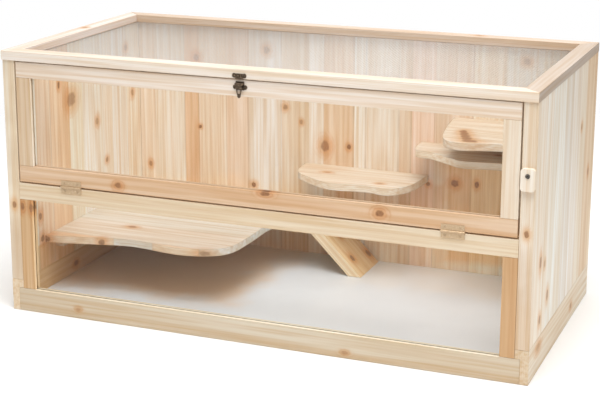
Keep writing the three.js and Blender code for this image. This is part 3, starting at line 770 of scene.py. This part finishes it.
def dress_other_nodes():
    dress(NODES["floor_panel"], WHITE_BOARD)
    soften(NODES["floor_panel"], FLOOR_BOARD_BEVEL)
    for name in ("lower_window_pane", "door_window_pane"):
        dress(NODES[name], ACRYLIC)
        soften(NODES[name], PANE_BEVEL)
    for name, node in NODES.items():
        if name.startswith(("door_hinge", "lid_hinge")):
            dress(node, ZINC)
            soften(node, METAL_BEVEL, 1)
        elif name.startswith("hasp"):
            dress(node, BRONZE)
            soften(node, METAL_BEVEL, 1)


# ---- Added pieces ------------------------------------------------------------------------------


def finish_piece(name, bm, material, body, replaced=()):
    """Makes a mesh object from a filled bmesh, and tells the frame what it is."""
    mesh = bpy.data.meshes.new(name)
    bmesh.ops.recalc_face_normals(bm, faces=bm.faces)
    bm.to_mesh(mesh)
    bm.free()
    piece = bpy.data.objects.new(name, mesh)
    bpy.context.scene.collection.objects.link(piece)
    mesh.materials.append(material)
    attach(piece, body)
    if replaced:
        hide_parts(*replaced)
    return piece


def add_tube(bm, start, end, radius, sides=6):
    """A closed round bar between two points."""
    start, end = Vector(start), Vector(end)
    axis = (end - start).normalized()
    across = axis.orthogonal().normalized()
    other = axis.cross(across)
    rings = []
    for point in (start, end):
        ring = []
        for index in range(sides):
            angle = 2 * math.pi * index / sides
            ring.append(bm.verts.new(point + radius * (math.cos(angle) * across + math.sin(angle) * other)))
        rings.append(ring)
    for index in range(sides):
        after = (index + 1) % sides
        bm.faces.new((rings[0][index], rings[0][after], rings[1][after], rings[1][index]))
    bm.faces.new(rings[0][::-1])
    bm.faces.new(rings[1])


WIRE_RADIUS = 0.27 * MM
MESH_PITCH = 6.35 * MM


def make_wire_mesh():
    """Welded wire mesh: the cross wires lie on the long wires and sink a little into them."""
    low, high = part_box("lid_mesh")
    centre = (low + high) / 2
    bm = bmesh.new()
    weld = WIRE_RADIUS * 0.9
    for axis, height in ((0, centre.z - weld), (1, centre.z + weld)):
        other = 1 - axis
        count = int((high[other] - low[other] - 2 * WIRE_RADIUS) / MESH_PITCH)
        first = centre[other] - count * MESH_PITCH / 2
        for index in range(count + 1):
            start, end = low.copy(), high.copy()
            start[other] = end[other] = first + index * MESH_PITCH
            start.z = end.z = height
            add_tube(bm, start, end, WIRE_RADIUS)
    for face in bm.faces:
        face.smooth = len(face.verts) == 4
    finish_piece("lid_wire_mesh", bm, WIRE, "lid", ["lid_mesh"])


STAPLE_CROWN = 11 * MM
STAPLE_WIRE = 0.35 * MM
STAPLE_LEG = 5 * MM
STAPLE_SPACING = 95 * MM
STAPLE_INSET = 3.6 * MM
STAPLE_WANDER = 6
STAPLE_TILT = 0.14
STAPLE_SEED = 5


def make_staples():
    """Staples that hold the mesh in the rebate under the lid, slightly askew as a gun leaves them."""
    low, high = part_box("lid_mesh")
    chance = random.Random(STAPLE_SEED)
    crown_z = low.z - STAPLE_WIRE
    bm = bmesh.new()
    for axis in (0, 1):
        other = 1 - axis
        length = high[axis] - low[axis]
        count = round(length / STAPLE_SPACING)
        for edge in (low[other] + STAPLE_INSET, high[other] - STAPLE_INSET):
            for index in range(count):
                wander = chance.uniform(-STAPLE_WANDER, STAPLE_WANDER) * MM
                centre = Vector((0, 0, crown_z))
                centre[axis] = low[axis] + (index + 0.5) * length / count + wander
                centre[other] = edge
                tilt = chance.uniform(-STAPLE_TILT, STAPLE_TILT)
                along = Vector((0, 0, 0))
                along[axis] = math.cos(tilt) * STAPLE_CROWN / 2
                along[other] = math.sin(tilt) * STAPLE_CROWN / 2
                add_tube(bm, centre - along, centre + along, STAPLE_WIRE)
                for end in (centre - along, centre + along):
                    add_tube(bm, end, end + Vector((0, 0, STAPLE_LEG)), STAPLE_WIRE)
    finish_piece("lid_mesh_staples", bm, ZINC, "lid")


# A screw's head is drawn as rings (share of the radius, height in millimetres), from its rim
# inwards, with a cross recess in the middle of the last one.
COUNTERSUNK = ((0.40, -6.0), (0.40, -1.9), (1.00, -0.3), (1.00, -0.08), (0.94, 0.0))
PAN = ((0.42, -6.0), (0.42, 0.0), (1.00, 0.0), (1.00, 0.45), (0.93, 0.75), (0.74, 1.0))


def add_cross_screw(bm, centre, outward, radius, rings, rise=MM, sides=24, turn=0.4):
    """One closed screw with a tapered cross recess. Heights in rings are multiples of rise."""
    centre, outward = Vector(centre), Vector(outward).normalized()
    across = outward.orthogonal().normalized()
    other = outward.cross(across)

    def place(x, y, height):
        return bm.verts.new(centre + across * x + other * y + outward * height)

    loops = []
    for share, height in rings:
        loop = []
        for index in range(sides):
            angle = 2 * math.pi * index / sides
            reach = radius * share
            loop.append(place(reach * math.cos(angle), reach * math.sin(angle), height * rise))
        loops.append(loop)
    bm.faces.new(loops[0][::-1])
    for inner, outer in zip(loops, loops[1:]):
        for index in range(sides):
            after = (index + 1) % sides
            bm.faces.new((inner[index], inner[after], outer[after], outer[index]))

    def cross(arm, width, height):
        corners = []
        for quarter in range(4):
            angle = turn + quarter * math.pi / 2
            c, s = math.cos(angle), math.sin(angle)
            for x, y in ((arm, -width), (arm, width), (width, width)):
                corners.append(place(x * c - y * s, x * s + y * c, height))
        return corners

    top = rings[-1][1] * rise
    mouth = cross(radius * 0.58, radius * 0.11, top)
    floor = cross(radius * 0.34, radius * 0.07, top - radius * 0.42)
    rim = [bm.edges.get((loops[-1][i], loops[-1][(i + 1) % sides])) for i in range(sides)]
    lip = [bm.edges.new((mouth[i], mouth[(i + 1) % 12])) for i in range(12)]
    bmesh.ops.triangle_fill(bm, edges=rim + lip, use_beauty=True)
    for index in range(12):
        after = (index + 1) % 12
        bm.faces.new((mouth[index], mouth[after], floor[after], floor[index]))
    bm.faces.new(floor)


def screws_in_place(name, nodes, body, material, rings=COUNTERSUNK, seed=1):
    """Cross-head screws where plain CAD screws are, facing the front."""
    chance = random.Random(seed)
    bm = bmesh.new()
    for node in nodes:
        low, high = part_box(node)
        centre = ((low.x + high.x) / 2, low.y, (low.z + high.z) / 2)
        turn = chance.uniform(0, math.pi / 2)
        add_cross_screw(bm, centre, (0, -1, 0), (high.x - low.x) / 2, rings, turn=turn)
    finish_piece(name, bm, material, body, nodes)


HASP_SCREW_SEED = 7
LID_SCREW_RADIUS = 2.9 * MM
LEAF_SCREW_SPREAD = 15 * MM
LEAF_SCREW_OFFSET = 8.2 * MM
LEAF_THICKNESS = 1.2 * MM


def make_front_screws():
    """The screws of the door's hinges and of the hasp."""
    for side in ("left", "right"):
        for leaf, body in (("upper", "door"), ("lower", "carcass")):
            stem = f"door_hinge_{side}_{leaf}_screw"
            screws_in_place(f"{stem}s", [f"{stem}_1", f"{stem}_2"], body, ZINC, seed=len(stem))
    for plate, body in (("hasp_keeper", "lid"), ("hasp_plate", "door")):
        stem = f"{plate}_screw"
        screws_in_place(
            f"{stem}s", [f"{stem}_1", f"{stem}_2"], body, BRONZE, seed=HASP_SCREW_SEED
        )


def make_lid_hinge_screws():
    """Two pan-head screws in each leaf of the lid's hinges, which face the back."""
    for side in ("left", "right"):
        for leaf, body, sign in (("upper", "lid", 1), ("lower", "carcass", -1)):
            low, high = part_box(f"lid_hinge_{side}_{leaf}_leaf")
            pin_low, pin_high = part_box(f"lid_hinge_{side}_pin")
            axis_z = (pin_low.z + pin_high.z) / 2
            bm = bmesh.new()
            for spread in (-LEAF_SCREW_SPREAD, LEAF_SCREW_SPREAD):
                place = (
                    (low.x + high.x) / 2 + spread,
                    low.y + LEAF_THICKNESS,
                    axis_z + sign * LEAF_SCREW_OFFSET,
                )
                add_cross_screw(bm, place, (0, 1, 0), LID_SCREW_RADIUS, PAN)
            finish_piece(f"lid_hinge_{side}_{leaf}_screws", bm, ZINC, body)


def make_button_screw():
    """The turn-button's pan-head screw, whose head ends where the CAD one does."""
    low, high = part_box("turn_button_screw")
    face_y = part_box("turn_button")[0].y
    body = NODES["turn_button_screw"]["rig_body"]
    bm = bmesh.new()
    place = ((low.x + high.x) / 2, face_y, (low.z + high.z) / 2)
    add_cross_screw(bm, place, (0, -1, 0), (high.x - low.x) / 2, PAN, rise=face_y - low.y)
    finish_piece("turn_button_head", bm, STEEL, body, ["turn_button_screw"])


# ---- Studio floor ------------------------------------------------------------------------------

STUDIO_RADIUS = 3
STUDIO_FADE = (1.3, 2.6)
STUDIO_DROP = 0.5 * MM


def make_floor():
    """A plain pale studio floor, faintly mottled, that fades into the white backdrop."""
    material, n, shader = new_material("studio_floor")
    spot = n.object_position()
    cloud = n.noise(spot, 1.2, 3)
    n.feed(shader.inputs["Base Color"], n.mix(cloud, (0.95, 0.95, 0.95, 1), (0.93, 0.93, 0.93, 1)))
    shader.inputs["Roughness"].default_value = 0.9
    shader.inputs["Specular IOR Level"].default_value = 0.1
    fade = n.ramp_value(n.vector("LENGTH", spot), *STUDIO_FADE)
    open_end = n.add("BsdfTransparent", {"Color": (1, 1, 1, 1)})
    whole = n.add("MixShader", {0: fade, 1: shader.outputs[0], 2: open_end.outputs[0]})
    n.feed(output_of(material).inputs["Surface"], whole.outputs[0])
    bm = bmesh.new()
    bmesh.ops.create_circle(bm, cap_ends=True, radius=STUDIO_RADIUS, segments=96)
    mesh = bpy.data.meshes.new("studio_floor")
    bm.to_mesh(mesh)
    bm.free()
    mesh.materials.append(material)
    floor = bpy.data.objects.new("studio_floor", mesh)
    bpy.context.scene.collection.objects.link(floor)
    floor.location.z = -STUDIO_DROP


# ---- Scene -------------------------------------------------------------------------------------

make_camera()
make_world()
make_lights()
bpy.context.scene.view_settings.view_transform = "Standard"
make_floor()
dress_boards()
dress_other_nodes()
make_wire_mesh()
make_staples()
make_front_screws()
make_lid_hinge_screws()
make_button_screw()
